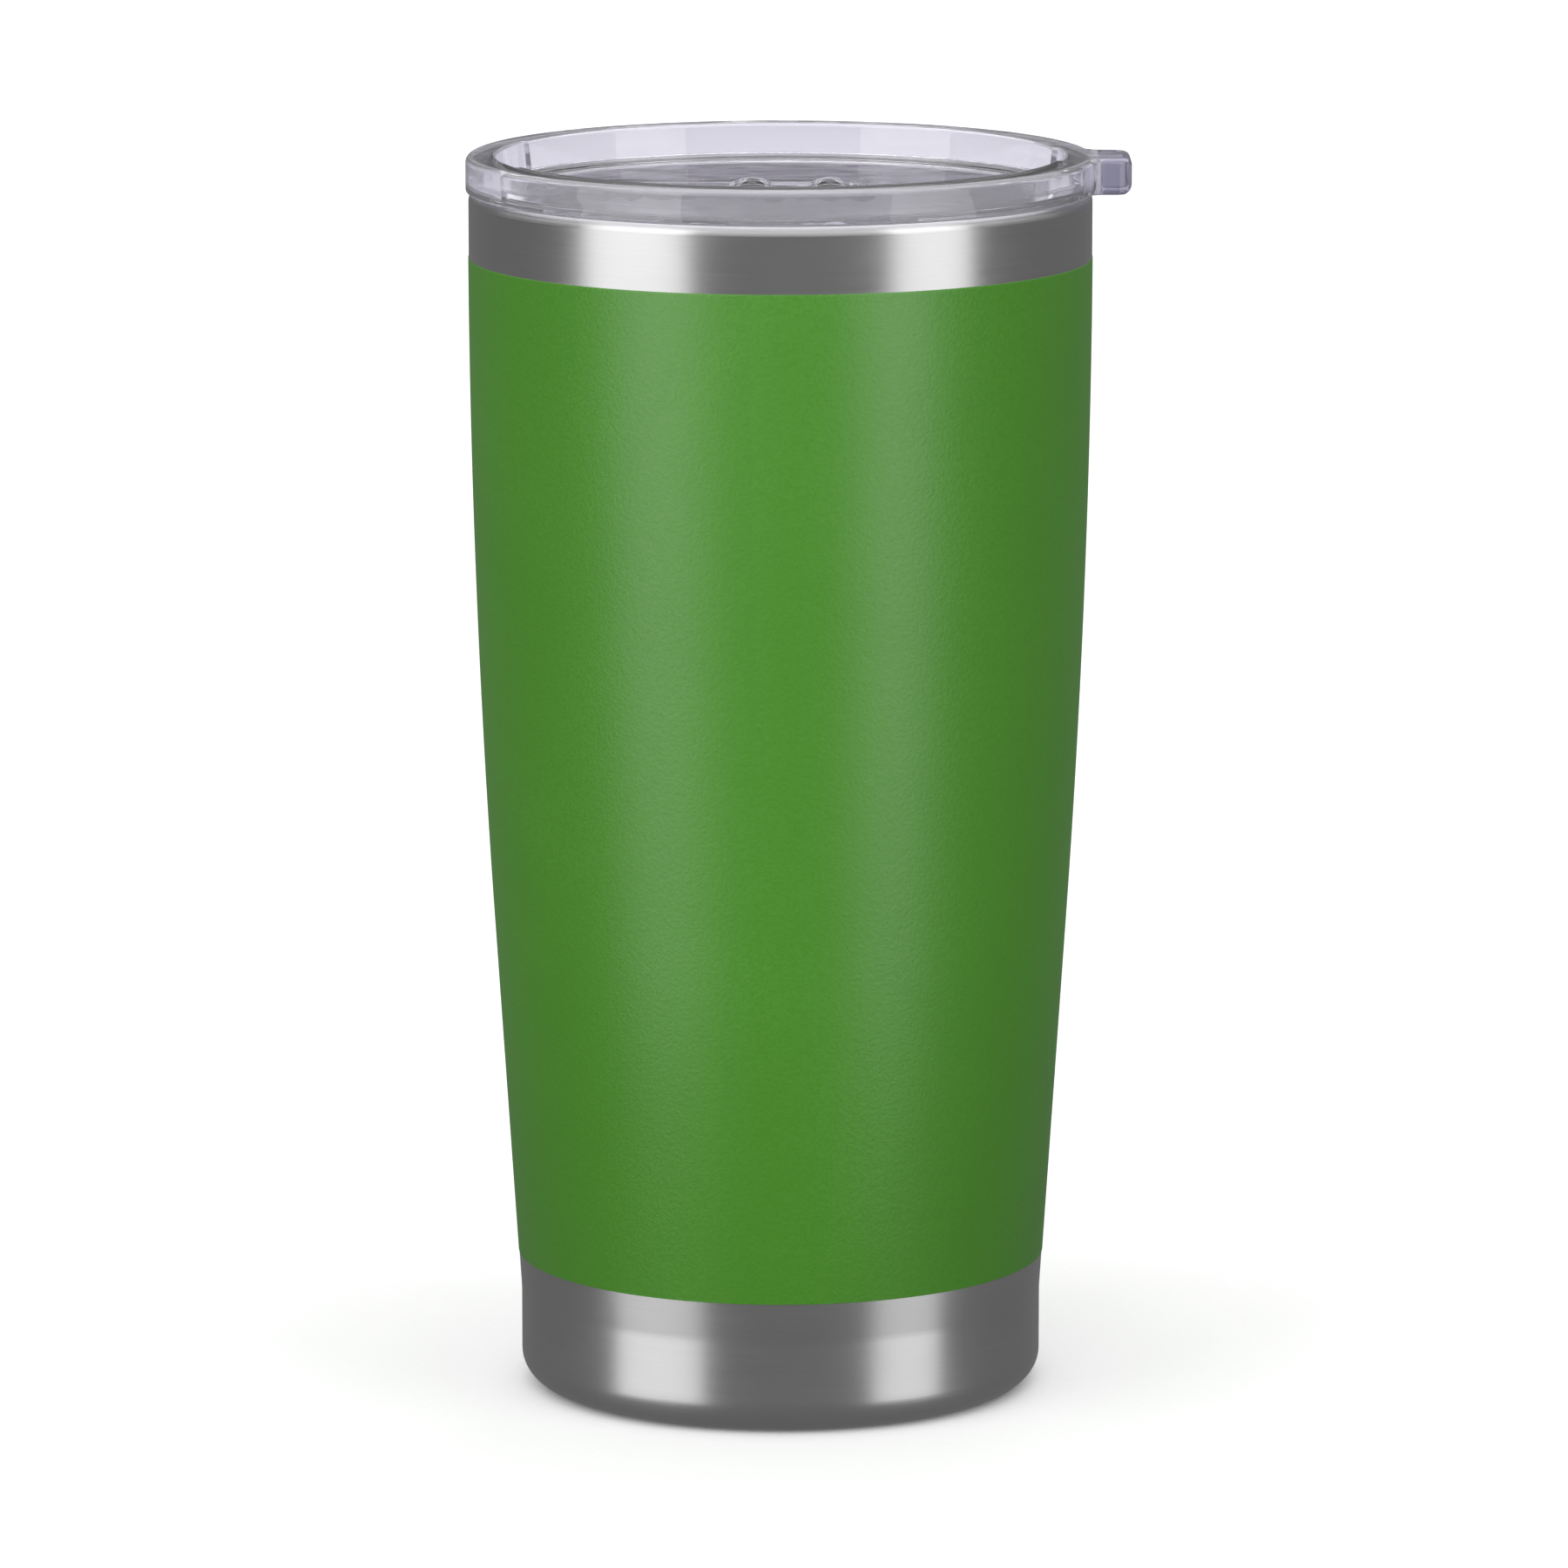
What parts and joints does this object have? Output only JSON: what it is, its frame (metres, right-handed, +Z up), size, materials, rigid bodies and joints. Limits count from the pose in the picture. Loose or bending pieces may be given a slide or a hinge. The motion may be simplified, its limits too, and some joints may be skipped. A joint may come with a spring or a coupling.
{
  "type": "insulated tumbler",
  "caption": "Tapered double-wall vacuum tumbler with a powder-coated steel body, bare steel rim and base bands, and a clear press-in lid with a pull tab and sliding sip closure.",
  "frame": {"origin": "on the cup's axis, in the plane of the ring it stands on", "axes": "+Z up along the cup's axis; +X towards the lid's pull tab, -X towards the sip slot"},
  "size_m": [0.0938, 0.0888, 0.1765],
  "materials": {
    "shell_steel": "satin polished stainless steel, bare at the mouth and foot bands",
    "green_powder_coat": "satin powder coat with a fine grain",
    "liner_steel": "turned and electropolished stainless steel",
    "cap_steel": "plain pressed stainless steel",
    "seal_glass": "melted solder glass",
    "getter_powder": "pressed grey powder",
    "copper_foil": "bright rolled copper foil",
    "clear_plastic": "clear glossy moulded plastic with a faint grey tint",
    "clear_silicone": "translucent silicone"
  },
  "bodies": {
    "cup": {"outer_shell": "shell_steel", "powder_coat": "green_powder_coat", "liner_wall": "liner_steel", "liner_bottom": "liner_steel", "base_cover": "shell_steel", "vacuum_cap": "cap_steel", "seal_pellet": "seal_glass", "getter_pan": "cap_steel", "getter_pill": "getter_powder", "heat_foil": "copper_foil"},
    "lid_seal": {"lid_gasket": "clear_silicone"},
    "lid": {"lid_body": "clear_plastic"},
    "slider": {"lid_slider": "clear_plastic"}
  },
  "joints": [
    {"name": "lid_lift", "type": "slide", "parent": "cup", "child": "lid_seal", "axis": [0, 0, 1], "range_m": [0, 0.06]},
    {"name": "lid_turn", "type": "hinge", "parent": "lid_seal", "child": "lid", "pos_m": [0, 0, 0.1665], "axis": [0, 0, 1], "continuous": true},
    {"name": "slider_close", "type": "slide", "parent": "lid", "child": "slider", "axis": [-1, 0, 0], "range_m": [0, 0.01]}
  ]
}
